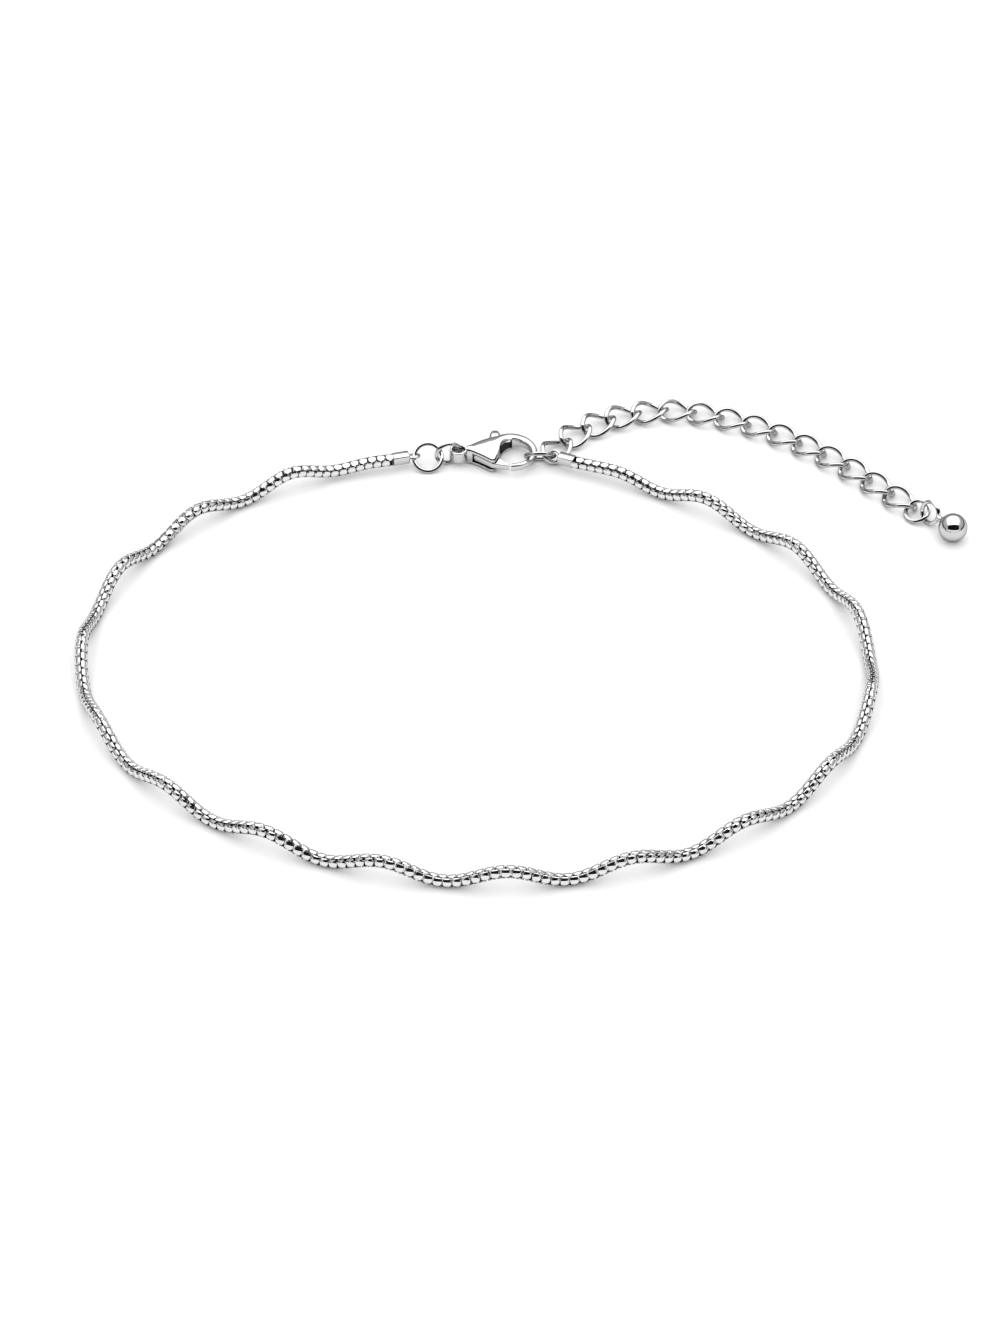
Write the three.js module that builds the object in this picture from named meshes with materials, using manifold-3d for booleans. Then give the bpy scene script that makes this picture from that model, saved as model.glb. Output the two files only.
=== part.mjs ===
// Polished silver chain bracelet, lying closed on a table: a waved main chain between two crimp ends,
// two jump rings, a lobster clasp with its lever, and an extension of curb links that ends in a ball.
// Millimetres, +Z up, table at z = 0. The clasp is on the far side (+Y).
import * as THREE from 'three';
import { mergeVertices } from 'three/addons/utils/BufferGeometryUtils.js';
import Module from 'manifold-3d';

const wasm = await Module();
wasm.setup();
const deg = THREE.MathUtils.degToRad;

// Main chain: a polar oval about the loop's own centre, which is also the working origin.
// radius(angle) = radius * (1 + oval cos 2(a - turn) + egg sin 3a + square cos 4a)
const loop = { radius: 34.9, oval: 0.115, turn: deg(-6), egg: -0.005, square: 0.015 };
const wave = { pitch: 11.78, height: 1.54, trough: -2.83 }; // trough: arc length from the front
const chain = { diameter: 1.3, sides: 8, steps: 70, meetGap: 0.12, easeLength: 12 };

// Crimp ends: a short square tube on the chain's end with a small eye soldered to it
const crimp = { face: 1.08, corner: 0.2, length: 1.75, setBack: 0.5, gap: 0.36 };
const crimpEye = { radius: 0.6, wire: 0.28 };
const edgeFacing = [0, -0.74, 0.67]; // one edge of each square tube points up and to the near side
const leftCrimp = { eye: [-6.82, 31.69, 1.26], heading: deg(195), lean: deg(-18) };
const rightCrimp = { eye: [8.2, 31.54, 1.34], heading: deg(-24), lean: deg(48) };

// Wire rings by their long and short half axes. tilt lifts the far side off the table, yaw turns the long axis.
const ringSides = 16;
const wireSides = 6;
const leftJumpRing = { at: [-5.28, 31.56, 1.18], axes: [1.49, 1.49], wire: 0.44, yaw: 0, tilt: deg(40) };
const ovalLink = { at: [-3.12, 32.04, 1.4], axes: [1.32, 1.18], wire: 0.42, yaw: deg(18), tilt: deg(89) };
const rightJumpRing = { at: [6.68, 31.62, 1.35], axes: [1.5, 1.5], wire: 0.46, yaw: deg(1), tilt: deg(-48) };
const endRing = { at: [46.16, 23.02, 0.82], axes: [1.27, 1.27], wire: 0.44, yaw: deg(-54), tilt: deg(26) };

// Extension: curb links, each an oval of wire twisted about its long axis, along a smooth route.
// They lie closer together near the clasp: spread is the share by which the first step is shorter.
const curb = { count: 15, long: 1.91, short: 1.4, wire: 0.48, twist: deg(-42), height: 0.73, spread: 0.03 };
const extensionRoute = [
  [8.44, 33.31], [10.3, 35.7], [12.8, 37.6], [15.4, 38.95],
  [21.2, 40.1], [29.6, 37.6], [37.5, 32.1], [44.5, 25],
];

// Ball that closes the extension, with its loop soldered on by a short neck
const ball = { at: [49.49, 19.51, 1.5], radius: 1.5, rows: 14, columns: 22 };
const ballLoop = { radius: 1.13, wire: 0.44, reach: 3.38, neck: 0.32 };
const ballLoopTurn = { heading: deg(128.3), rise: deg(-2.9), roll: deg(-72) };

// Lobster clasp, about the centre of its round hook end; +X runs from the eye to the hook
const clasp = { at: [3.6, 32.45], thickness: 2, cheek: 0.52, bevel: 0.1 };
const hook = { outer: 2.75, opening: 1.97, openingAt: [0.15, -0.18], from: deg(-92), to: deg(108), steps: 22 };
const hookSections = [ // angle round the hook, height of the bar and of its middle
  { angle: deg(-92), height: 0.85, middle: 1.1 },
  { angle: deg(0), height: 0.7, middle: 1.17 },
  { angle: deg(90), height: 1.4, middle: 1 },
  { angle: deg(108), height: 1.5, middle: 1 },
];
const claspEye = { at: [-5.62, -0.26], outer: 0.965, hole: 0.65, bottom: 0.64, top: 1.76, bevel: 0.08 };
const pivot = { at: [-3.15, -0.45], pin: 0.25, hole: 0.38 };
const lever = { thickness: 0.76, bevel: 0.07, tab: { across: -1.74, end: 3.1, radius: 0.47 }, hub: 0.75 };

function silver(name, color, roughness) {
  return new THREE.MeshStandardMaterial({ name, color, metalness: 1, roughness });
}

const chainSilver = silver('chain_silver', 0xd6d7d9, 0.16);
const wireSilver = silver('wire_silver', 0xdcdddf, 0.12);
const castSilver = silver('cast_silver', 0xe0e1e3, 0.1);

const bracelet = new THREE.Group();

function addPiece(name, geometry, material) {
  const mesh = new THREE.Mesh(geometry, material);
  mesh.name = name;
  bracelet.add(mesh);
}

// Solids are joined and cut on merged vertices with positions only
function toSolid(geometry) {
  const bare = geometry.clone();
  bare.deleteAttribute('normal');
  bare.deleteAttribute('uv');
  const merged = mergeVertices(bare, 1e-4);
  const vertProperties = new Float32Array(merged.attributes.position.array);
  const triVerts = new Uint32Array(merged.index.array);
  return new wasm.Manifold(new wasm.Mesh({ numProp: 3, vertProperties, triVerts }));
}

function toGeometry(solid) {
  const mesh = solid.getMesh();
  const geometry = new THREE.BufferGeometry();
  geometry.setAttribute('position', new THREE.BufferAttribute(mesh.vertProperties, 3));
  geometry.setIndex(new THREE.BufferAttribute(mesh.triVerts, 1));
  geometry.computeVertexNormals();
  return geometry;
}

const join = (...geometries) => toGeometry(geometries.map(toSolid).reduce((whole, next) => whole.add(next)));

// Main chain

function loopPoint(angle) {
  const { radius, oval, turn, egg, square } = loop;
  const lobes = oval * Math.cos(2 * (angle - turn)) + egg * Math.sin(3 * angle) + square * Math.cos(4 * angle);
  return new THREE.Vector2(Math.cos(angle), Math.sin(angle)).multiplyScalar(radius * (1 + lobes));
}

const frontAngle = deg(270);
const angleStep = deg(0.25);

// The angle whose loop point lies at x on the far side, searched outwards from the middle of the back
function farAngleAt(x) {
  let angle = deg(90);
  const way = x < 0 ? 1 : -1;
  while (Math.abs(loopPoint(angle).x) < Math.abs(x)) angle += way * angleStep;
  return angle;
}

function crimpAxis({ heading }) {
  return new THREE.Vector3(Math.cos(heading), Math.sin(heading), 0);
}

function crimpMouth(end) {
  const reach = crimp.setBack + crimp.length + crimp.gap;
  return new THREE.Vector3(...end.eye).addScaledVector(crimpAxis(end), reach);
}

// How far the wave lifts the chain off the table at a length from the front
function waveLift(along) {
  return wave.height / 2 * (1 - Math.cos(2 * Math.PI * (along - wave.trough) / wave.pitch));
}

// Half of the chain, from the front to a crimp end. It follows the loop in plan and waves up and down,
// and its last stretch eases over to the crimp's mouth.
class ChainHalf extends THREE.Curve {
  constructor(end, way) {
    super();
    this.arcLengthDivisions = 900;
    this.mouth = crimpMouth(end);
    const endAngle = way < 0 ? farAngleAt(this.mouth.x) : farAngleAt(this.mouth.x) + 2 * Math.PI;
    const startAngle = frontAngle + way * chain.meetGap / 2 / loopPoint(frontAngle).length();
    this.angles = [startAngle];
    this.lengths = [way * chain.meetGap / 2];
    const count = Math.ceil(Math.abs(endAngle - startAngle) / angleStep);
    for (let i = 1; i <= count; i += 1) {
      const angle = startAngle + (endAngle - startAngle) * i / count;
      const step = loopPoint(angle).distanceTo(loopPoint(this.angles[i - 1]));
      this.angles.push(angle);
      this.lengths.push(this.lengths[i - 1] + way * step);
    }
  }

  getPoint(t, target = new THREE.Vector3()) {
    const last = this.angles.length - 1;
    const i = Math.min(Math.floor(t * last), last - 1);
    const part = t * last - i;
    const angle = THREE.MathUtils.lerp(this.angles[i], this.angles[i + 1], part);
    const along = THREE.MathUtils.lerp(this.lengths[i], this.lengths[i + 1], part);
    const plan = loopPoint(angle);
    const toEnd = Math.abs(this.lengths[last] - along);
    const ease = 1 - THREE.MathUtils.smoothstep(toEnd, 0, chain.easeLength);
    const endPlan = loopPoint(this.angles[last]);
    const lift = THREE.MathUtils.lerp(waveLift(along), this.mouth.z - chain.diameter / 2, ease);
    target.set(plan.x, plan.y, chain.diameter / 2 + lift);
    target.x += (this.mouth.x - endPlan.x) * ease;
    target.y += (this.mouth.y - endPlan.y) * ease;
    return target;
  }
}

function chainTube(end, way) {
  const section = new THREE.Shape();
  for (let i = 0; i < chain.sides; i += 1) {
    const a = 2 * Math.PI * (i + 0.5) / chain.sides;
    const corner = [chain.diameter / 2 * Math.cos(a), chain.diameter / 2 * Math.sin(a)];
    if (i === 0) section.moveTo(...corner);
    else section.lineTo(...corner);
  }
  const extrudePath = new ChainHalf(end, way);
  return new THREE.ExtrudeGeometry(section, { steps: chain.steps, extrudePath });
}

addPiece('chain_left', chainTube(leftCrimp, -1), chainSilver);
addPiece('chain_right', chainTube(rightCrimp, 1), chainSilver);

// Wire rings and links: closed tubes round an oval whose axes are given as vectors

class WireLoop extends THREE.Curve {
  constructor(centre, longAxis, shortAxis, twist = 0) {
    super();
    this.centre = centre;
    this.longAxis = longAxis;
    this.shortAxis = shortAxis;
    this.twist = twist;
    this.normal = longAxis.clone().cross(shortAxis).setLength(shortAxis.length());
  }

  // The short axis swings about the long one by twist at either end of the link
  getPoint(t, target = new THREE.Vector3()) {
    const a = 2 * Math.PI * t;
    const swing = this.twist * Math.cos(a);
    return target.copy(this.centre)
      .addScaledVector(this.longAxis, Math.cos(a))
      .addScaledVector(this.shortAxis, Math.sin(a) * Math.cos(swing))
      .addScaledVector(this.normal, Math.sin(a) * Math.sin(swing));
  }
}

function wireTube(path, wire) {
  return new THREE.TubeGeometry(path, ringSides, wire / 2, wireSides, true);
}

function tiltedRing({ at, axes: [long, short], wire, yaw, tilt }) {
  const longAxis = new THREE.Vector3(Math.cos(yaw), Math.sin(yaw), 0).multiplyScalar(long);
  const level = new THREE.Vector3(-Math.sin(yaw), Math.cos(yaw), 0).multiplyScalar(Math.cos(tilt));
  const shortAxis = level.setZ(Math.sin(tilt)).multiplyScalar(short);
  return wireTube(new WireLoop(new THREE.Vector3(...at), longAxis, shortAxis), wire);
}

// Crimp ends

// A square with round corners, each corner an arc about its own centre
function softSquare(face, corner) {
  const outline = new THREE.Shape();
  const reach = Math.SQRT2 * (face / 2 - corner);
  for (let i = 0; i < 4; i += 1) {
    const a = deg(90 * i);
    outline.absarc(reach * Math.cos(a), reach * Math.sin(a), corner, a - deg(45), a + deg(45), false);
  }
  return outline;
}

function crimpTube(axis, start) {
  const edge = new THREE.Vector3(...edgeFacing).projectOnPlane(axis).normalize();
  const outline = softSquare(crimp.face, crimp.corner);
  const size = { depth: crimp.length, curveSegments: 3, bevelEnabled: false };
  const tube = new THREE.ExtrudeGeometry(outline, size);
  const turn = new THREE.Matrix4().makeBasis(edge, axis.clone().cross(edge), axis);
  return tube.applyMatrix4(turn.setPosition(start));
}

function crimpEnd(end) {
  const eyeAt = new THREE.Vector3(...end.eye);
  const axis = crimpAxis(end);
  const side = new THREE.Vector3(-axis.y, axis.x, 0);
  if (side.y < 0) side.negate();
  const across = side.multiplyScalar(Math.cos(end.lean)).setZ(Math.sin(end.lean));
  const eyePath = new WireLoop(
    eyeAt, axis.clone().multiplyScalar(crimpEye.radius), across.multiplyScalar(crimpEye.radius),
  );
  const tube = crimpTube(axis, eyeAt.clone().addScaledVector(axis, crimp.setBack));
  return join(tube, wireTube(eyePath, crimpEye.wire));
}

addPiece('crimp_end_left', crimpEnd(leftCrimp), castSilver);
addPiece('crimp_end_right', crimpEnd(rightCrimp), castSilver);
addPiece('jump_ring_left', tiltedRing(leftJumpRing), wireSilver);
addPiece('oval_link', tiltedRing(ovalLink), wireSilver);
addPiece('jump_ring_right', tiltedRing(rightJumpRing), wireSilver);

// Extension chain

const routePoints = extensionRoute.map(([x, y]) => new THREE.Vector3(x, y, curb.height));
const route = new THREE.CatmullRomCurve3(routePoints, false, 'centripetal');

for (let i = 0; i < curb.count; i += 1) {
  const share = i / (curb.count - 1);
  const along = share * (1 - curb.spread * (1 - share));
  const centre = route.getPointAt(along);
  const longAxis = route.getTangentAt(along);
  const shortAxis = new THREE.Vector3(-longAxis.y, longAxis.x, 0).multiplyScalar(curb.short);
  const path = new WireLoop(centre, longAxis.multiplyScalar(curb.long), shortAxis, curb.twist);
  addPiece(`extension_link_${String(i + 1).padStart(2, '0')}`, wireTube(path, curb.wire), wireSilver);
}

addPiece('extension_end_ring', tiltedRing(endRing), wireSilver);

function ballWithLoop() {
  const sphere = new THREE.SphereGeometry(ball.radius, ball.columns, ball.rows);
  sphere.rotateX(Math.PI / 2);
  sphere.translate(...ball.at);
  const { radius, reach, wire, neck } = ballLoop;
  const { heading, rise, roll } = ballLoopTurn;
  const up = new THREE.Vector3(0, 0, 1);
  const out = new THREE.Vector3(Math.cos(rise), 0, Math.sin(rise)).applyAxisAngle(up, heading);
  const level = new THREE.Vector3(-Math.sin(heading), Math.cos(heading), 0);
  const upright = out.clone().cross(level);
  const across = level.multiplyScalar(Math.cos(roll)).addScaledVector(upright, Math.sin(roll));
  const centre = new THREE.Vector3(...ball.at).addScaledVector(out, reach);
  const path = new WireLoop(centre, out.clone().multiplyScalar(radius), across.multiplyScalar(radius));
  const [neckFrom, neckTo] = [ball.radius - neck, reach - radius];
  const post = new THREE.CylinderGeometry(neck, neck, neckTo - neckFrom, wireSides * 2);
  post.applyQuaternion(new THREE.Quaternion().setFromUnitVectors(new THREE.Vector3(0, 1, 0), out));
  const postAt = new THREE.Vector3(...ball.at).addScaledVector(out, (neckFrom + neckTo) / 2);
  post.translate(postAt.x, postAt.y, postAt.z);
  return join(sphere, wireTube(path, wire), post);
}

addPiece('extension_ball', ballWithLoop(), castSilver);

// Lobster clasp

// An outline in the clasp's plan, raised between two heights with softened edges
function plate(outline, bottom, top, bevel) {
  const geometry = new THREE.ExtrudeGeometry(outline, {
    depth: top - bottom - 2 * bevel,
    curveSegments: 7,
    bevelThickness: bevel,
    bevelSize: bevel,
    bevelOffset: -bevel,
    bevelSegments: 2,
  });
  return geometry.translate(clasp.at[0], clasp.at[1], bottom + bevel);
}

const roundPost = (at, radius, bottom, top) => {
  const post = new THREE.CylinderGeometry(radius, radius, top - bottom, 12);
  post.rotateX(Math.PI / 2);
  return post.translate(clasp.at[0] + at[0], clasp.at[1] + at[1], (bottom + top) / 2);
};

// Cheek: a drop from the neck to the hook, with its near corner over the lever
function cheekOutline() {
  const outline = new THREE.Shape();
  outline.moveTo(-4.8, -0.5);
  outline.lineTo(-4.3, -0.62);
  outline.quadraticCurveTo(-3.1, -1.35, -2.2, -2.12);
  outline.quadraticCurveTo(-1.75, -2.4, -1.6, -1.85);
  outline.quadraticCurveTo(-1.2, -0.9, -1.2, -0.1);
  outline.quadraticCurveTo(-1.15, 1.2, 0.1, 1.75);
  outline.absarc(0, 0, hook.outer - 0.04, deg(84), deg(122), false);
  outline.quadraticCurveTo(-3.2, 1.75, -4.3, 0.75);
  outline.lineTo(-4.8, 0.35);
  return outline;
}

function neckOutline() {
  const outline = new THREE.Shape();
  outline.moveTo(-4.85, -0.45);
  outline.lineTo(-4.05, -0.65);
  outline.lineTo(-4.05, 0.55);
  outline.lineTo(-3.6, 0.9);
  outline.lineTo(-3.6, 1.2);
  outline.lineTo(-4.85, 0.25);
  return outline;
}

function eyeOutline() {
  const outline = new THREE.Shape();
  outline.absarc(...claspEye.at, claspEye.outer, 0, 2 * Math.PI, false);
  const hole = new THREE.Path();
  hole.absarc(...claspEye.at, claspEye.hole, 0, 2 * Math.PI, true);
  outline.holes.push(hole);
  return outline;
}

function sectionAt(angle) {
  const next = Math.max(1, hookSections.findIndex((row) => row.angle >= angle - 1e-9));
  const [a, b] = [hookSections[next - 1], hookSections[next]];
  const part = (angle - a.angle) / (b.angle - a.angle);
  return {
    height: THREE.MathUtils.lerp(a.height, b.height, part),
    middle: THREE.MathUtils.lerp(a.middle, b.middle, part),
  };
}

// The hook's bar fills the space between its outer circle and the opening's circle, with a rounded section
function hookBar() {
  const around = 12;
  const squareness = 0.75;
  const soft = (v) => Math.sign(v) * Math.abs(v) ** squareness;
  const positions = [];
  const faces = [];
  for (let i = 0; i <= hook.steps; i += 1) {
    const angle = THREE.MathUtils.lerp(hook.from, hook.to, i / hook.steps);
    const { height, middle } = sectionAt(angle);
    const ray = new THREE.Vector2(Math.cos(angle), Math.sin(angle));
    const outer = ray.clone().multiplyScalar(hook.outer);
    const inner = new THREE.Vector2(...hook.openingAt).addScaledVector(ray, hook.opening);
    const centre = outer.clone().add(inner).multiplyScalar(0.5);
    const half = outer.sub(inner).multiplyScalar(0.5);
    for (let k = 0; k < around; k += 1) {
      const turn = 2 * Math.PI * k / around;
      const p = centre.clone().addScaledVector(half, soft(Math.cos(turn)));
      positions.push(clasp.at[0] + p.x, clasp.at[1] + p.y, middle + height / 2 * soft(Math.sin(turn)));
      if (i === 0) continue;
      const [a, b] = [(i - 1) * around + k, (i - 1) * around + (k + 1) % around];
      faces.push(a, a + around, b + around, a, b + around, b);
    }
  }
  const lastRow = hook.steps * around;
  for (let k = 1; k < around - 1; k += 1) {
    faces.push(0, k, k + 1);
    faces.push(lastRow, lastRow + k + 1, lastRow + k);
  }
  const geometry = new THREE.BufferGeometry();
  geometry.setAttribute('position', new THREE.Float32BufferAttribute(positions, 3));
  geometry.setIndex(faces);
  return geometry;
}

// Two cheeks on a neck and a round hook, with the lever's pin across the slot between the cheeks
function claspBody() {
  const { thickness, cheek, bevel } = clasp;
  return join(
    plate(cheekOutline(), 0, cheek, bevel),
    plate(cheekOutline(), thickness - cheek, thickness, bevel),
    plate(neckOutline(), 0.35, thickness - 0.25, 0.05),
    plate(eyeOutline(), claspEye.bottom, claspEye.top, claspEye.bevel),
    roundPost(pivot.at, pivot.pin, cheek / 2, thickness - cheek / 2),
    hookBar(),
  );
}

// The lever: a gate along the near side, a hub on the pin and a thumb tab out of the far side
function leverOutline() {
  const { across, end, radius } = lever.tab;
  const outline = new THREE.Shape();
  outline.moveTo(-3.9, -1.0);
  outline.quadraticCurveTo(-2.4, -1.75, -1.6, -2.1);
  outline.lineTo(-0.2, -2.5);
  outline.lineTo(-0.2, -2.08);
  outline.quadraticCurveTo(-1.2, -1.5, -1.45, -0.5);
  outline.lineTo(across + radius, 1.2);
  outline.absarc(across, end, radius, 0, Math.PI, false);
  outline.lineTo(across - radius, 1.2);
  outline.quadraticCurveTo(-2.5, 0.5, -2.9, pivot.at[1] + lever.hub);
  outline.absarc(...pivot.at, lever.hub, deg(90), deg(195), false);
  const hole = new THREE.Path();
  hole.absarc(...pivot.at, pivot.hole, 0, 2 * Math.PI, true);
  outline.holes.push(hole);
  return outline;
}

function claspLever() {
  const bottom = (clasp.thickness - lever.thickness) / 2;
  return plate(leverOutline(), bottom, bottom + lever.thickness, lever.bevel);
}

addPiece('clasp_body', claspBody(), castSilver);
addPiece('clasp_lever', claspLever(), castSilver);

// The part's origin is under the middle of its box
const box = new THREE.Box3().setFromObject(bracelet);
const middle = box.getCenter(new THREE.Vector3());
bracelet.position.set(-middle.x, -middle.y, -box.min.z);

const part = new THREE.Group();
part.add(bracelet);

export default part;
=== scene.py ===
import math

import bmesh
import bpy
import numpy as np
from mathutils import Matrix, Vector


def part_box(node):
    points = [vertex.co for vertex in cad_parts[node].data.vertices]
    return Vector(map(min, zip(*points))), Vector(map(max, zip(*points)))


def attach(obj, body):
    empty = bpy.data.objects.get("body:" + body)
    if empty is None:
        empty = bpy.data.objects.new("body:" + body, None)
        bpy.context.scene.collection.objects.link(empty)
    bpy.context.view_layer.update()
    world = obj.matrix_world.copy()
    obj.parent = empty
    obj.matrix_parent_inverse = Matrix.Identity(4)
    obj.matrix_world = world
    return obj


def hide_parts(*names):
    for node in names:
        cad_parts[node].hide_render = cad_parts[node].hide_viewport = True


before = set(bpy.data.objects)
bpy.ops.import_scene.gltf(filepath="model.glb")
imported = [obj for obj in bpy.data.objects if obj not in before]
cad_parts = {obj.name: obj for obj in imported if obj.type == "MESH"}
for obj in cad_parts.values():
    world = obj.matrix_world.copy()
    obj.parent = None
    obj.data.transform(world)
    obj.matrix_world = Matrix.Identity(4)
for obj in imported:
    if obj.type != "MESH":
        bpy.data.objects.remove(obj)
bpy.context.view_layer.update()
print("frame loaded,", len(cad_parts), "nodes")

# Sizes are millimetres about the loop's own centre, with the table at z = 0 and the clasp on the far side.
mm = 0.001
mainBody = "bracelet"
leverBody = "lever"
ball = {"centre": (49.49, 19.51, 1.5), "radius": 1.5, "rows": 40, "columns": 64}

# The right and near sides of the ball's box are its sphere's own, so they tell where the loop's centre
# lies in the frame.
ballLow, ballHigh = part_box("extension_ball")
loopCentre = np.array([
    ballHigh[0] / mm - ball["radius"] - ball["centre"][0],
    ballLow[1] / mm + ball["radius"] - ball["centre"][1],
    0.0,
])


def toFrame(points):
    return (np.asarray(points, float) + loopCentre) * mm


def unit(vectors):
    return vectors / np.linalg.norm(vectors, axis=-1, keepdims=True)


def smoothStep(low, high, values):
    t = np.clip((values - low) / (high - low), 0, 1)
    return t * t * (3 - 2 * t)


# Length along a curve at each of its points, and the points at given lengths
def lengthsAlong(points):
    return np.concatenate([[0], np.cumsum(np.linalg.norm(np.diff(points, axis=0), axis=1))])


def pointsAt(lengths, reach, points):
    return np.stack([np.interp(lengths, reach, column) for column in points.T], -1)


# Camera: the photo's frame is 1000 by 1334, and its long side takes the sensor's width
camera = {
    "aim": (2.4, -0.5, 0.0), "elevation": 42, "distance": 350, "focalPixels": 3500, "framePixels": 1334,
    "sensor": 36, "clipStart": 0.01,
}


def addCamera():
    up = math.radians(camera["elevation"])
    data = bpy.data.cameras.new("camera")
    data.sensor_width = camera["sensor"]
    data.lens = camera["focalPixels"] * data.sensor_width / camera["framePixels"]
    data.clip_start = camera["clipStart"]
    eye = bpy.data.objects.new("camera", data)
    back = camera["distance"] * np.array([0, -math.cos(up), math.sin(up)])
    eye.location = toFrame(np.array(camera["aim"]) + back)
    eye.rotation_euler = (math.pi / 2 - up, 0, 0)
    bpy.context.collection.objects.link(eye)
    bpy.context.scene.camera = eye


# Polished silver: fine haze in the gloss and a faint ripple, both from noise on Object coordinates.
# Rim tints the metal at grazing angles, where less than 1 is darker. With dark set, a vertex attribute
# mixes in a near-black: painted shade in hollows and on undersides, with the oxide that stays in hollows.
hazeNoise = {"Scale": 2600, "Detail": 4}
hazeSpan = {"From Min": 0.3, "From Max": 0.7}
rippleNoise = {"Scale": 900, "Detail": 2}
rippleDepth = 0.00004
# near-black for painted shade in hollows and on undersides, together with the oxide the silver keeps there
oxideAndShadeTone = (0.012, 0.012, 0.013)


def nodeAt(tree, kind, **inputs):
    node = tree.nodes.new(kind)
    for key, value in inputs.items():
        node.inputs[key].default_value = value
    return node


def makeSilver(name, tone, gloss, haze, ripple, dark=None, rim=0.4):
    material = bpy.data.materials.new(name)
    material.use_nodes = True
    tree = material.node_tree
    shader = tree.nodes["Principled BSDF"]
    shader.inputs["Metallic"].default_value = 1
    shader.inputs["Base Color"].default_value = (*tone, 1)
    shader.inputs["Specular Tint"].default_value = (rim, rim, rim, 1)
    place = tree.nodes.new("ShaderNodeTexCoord")
    hazy = nodeAt(tree, "ShaderNodeTexNoise", **hazeNoise)
    tree.links.new(place.outputs["Object"], hazy.inputs["Vector"])
    spread = nodeAt(tree, "ShaderNodeMapRange", **hazeSpan, **{"To Min": gloss, "To Max": haze})
    tree.links.new(hazy.outputs["Fac"], spread.inputs["Value"])
    tree.links.new(spread.outputs["Result"], shader.inputs["Roughness"])
    rippled = nodeAt(tree, "ShaderNodeTexNoise", **rippleNoise)
    tree.links.new(place.outputs["Object"], rippled.inputs["Vector"])
    bump = nodeAt(tree, "ShaderNodeBump", Strength=ripple, Distance=rippleDepth)
    tree.links.new(rippled.outputs["Fac"], bump.inputs["Height"])
    tree.links.new(bump.outputs["Normal"], shader.inputs["Normal"])
    if dark:
        # painted shade: the attribute's share of the near-black is mixed into the base colour
        shadeOxideMask = tree.nodes.new("ShaderNodeAttribute")
        shadeOxideMask.attribute_name = "shadeOxideMask"
        # the mix node's colours are its inputs 6 and 7 and its output 2
        mix = tree.nodes.new("ShaderNodeMix")
        mix.data_type = "RGBA"
        mix.inputs[6].default_value = (*tone, 1)
        mix.inputs[7].default_value = (*dark, 1)
        tree.links.new(shadeOxideMask.outputs["Fac"], mix.inputs[0])
        tree.links.new(mix.outputs[2], shader.inputs["Base Color"])
    return material


chainSilver = makeSilver(
    "chainSilver", (0.72, 0.72, 0.725), gloss=0.03, haze=0.07, ripple=0.03, dark=oxideAndShadeTone, rim=0.8)
wireSilver = makeSilver("wireSilver", (0.5, 0.5, 0.505), gloss=0.02, haze=0.05, ripple=0.02)
curbSilver = makeSilver("curbSilver", (0.5, 0.5, 0.505), gloss=0.03, haze=0.07, ripple=0.02)
castSilver = makeSilver(
    "castSilver", (0.57, 0.57, 0.575), gloss=0.02, haze=0.05, ripple=0.03, dark=oxideAndShadeTone)


# Mesh making: each grid is (points[rows, columns, 3], rows close, columns close), and may end with its
# painted shade values, which also stand for oxide. Points nearer than mergeDistance, in metres, become one.
mergeDistance = 1e-7


def gridFaces(shape, rowsClose, columnsClose, start):
    rows, columns = shape
    i, j = np.meshgrid(
        np.arange(rows if rowsClose else rows - 1),
        np.arange(columns if columnsClose else columns - 1), indexing="ij")
    iNext, jNext = (i + 1) % rows, (j + 1) % columns
    corners = [i * columns + j, iNext * columns + j, iNext * columns + jNext, i * columns + jNext]
    return np.stack(corners, -1).reshape(-1, 4) + start


def addPiece(name, grids, material, nodes, body=mainBody, sharpAngle=40):
    starts = np.cumsum([0] + [points.shape[0] * points.shape[1] for points, *_ in grids])
    vertices = np.concatenate([points.reshape(-1, 3) for points, *_ in grids])
    faces = np.concatenate([
        gridFaces(points.shape[:2], rowsClose, columnsClose, start)
        for (points, rowsClose, columnsClose, *_), start in zip(grids, starts)])
    shadeOxideMask = np.concatenate([
        np.broadcast_to(depth[0] if depth else 0.0, points.shape[:2]).ravel()
        for points, _, _, *depth in grids])
    mesh = bpy.data.meshes.new(name)
    mesh.from_pydata(toFrame(vertices), [], faces.tolist())
    # each vertex keeps its share of painted shade, read by the material's mix
    mesh.attributes.new("shadeOxideMask", "FLOAT", "POINT").data.foreach_set("value", shadeOxideMask.astype(np.float32))
    # rows that shrink to a pole are merged to one vertex, then faces are turned outwards
    shell = bmesh.new()
    shell.from_mesh(mesh)
    bmesh.ops.remove_doubles(shell, verts=shell.verts, dist=mergeDistance)
    bmesh.ops.recalc_face_normals(shell, faces=shell.faces)
    shell.to_mesh(mesh)
    shell.free()
    mesh.polygons.foreach_set("use_smooth", np.ones(len(mesh.polygons), bool))
    mesh.set_sharp_from_angle(angle=math.radians(sharpAngle))
    mesh.materials.append(material)
    piece = bpy.data.objects.new(name, mesh)
    bpy.context.collection.objects.link(piece)
    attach(piece, body)
    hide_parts(*nodes)
    return piece


# The seam between two rows of chain links faces the same way all along the chain
seamRise = math.radians(42)
seamFacing = np.array([0, -math.cos(seamRise), math.sin(seamRise)])


# The seam's direction made square to each forward direction
def seamSide(forward):
    return unit(seamFacing - (forward @ seamFacing)[..., None] * forward)


# Main chain: a polar oval in plan that waves up and down, as two halves from the front to the crimp ends.
# radius(angle) = radius (1 + oval cos 2(angle - turn) + egg sin 3 angle + square cos 4 angle)
# lift(along) = half the height (1 - cos of the turns made since the trough, one for each pitch)
loop = {"radius": 34.9, "oval": 0.115, "turn": -6, "egg": -0.005, "square": 0.015}
wave = {"pitch": 11.78, "height": 1.54, "trough": -2.83}
chain = {
    "diameter": 1.3, "easeLength": 12, "front": 270, "samples": 6000, "insideFrom": 0.01, "insideSamples": 40,
}

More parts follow.
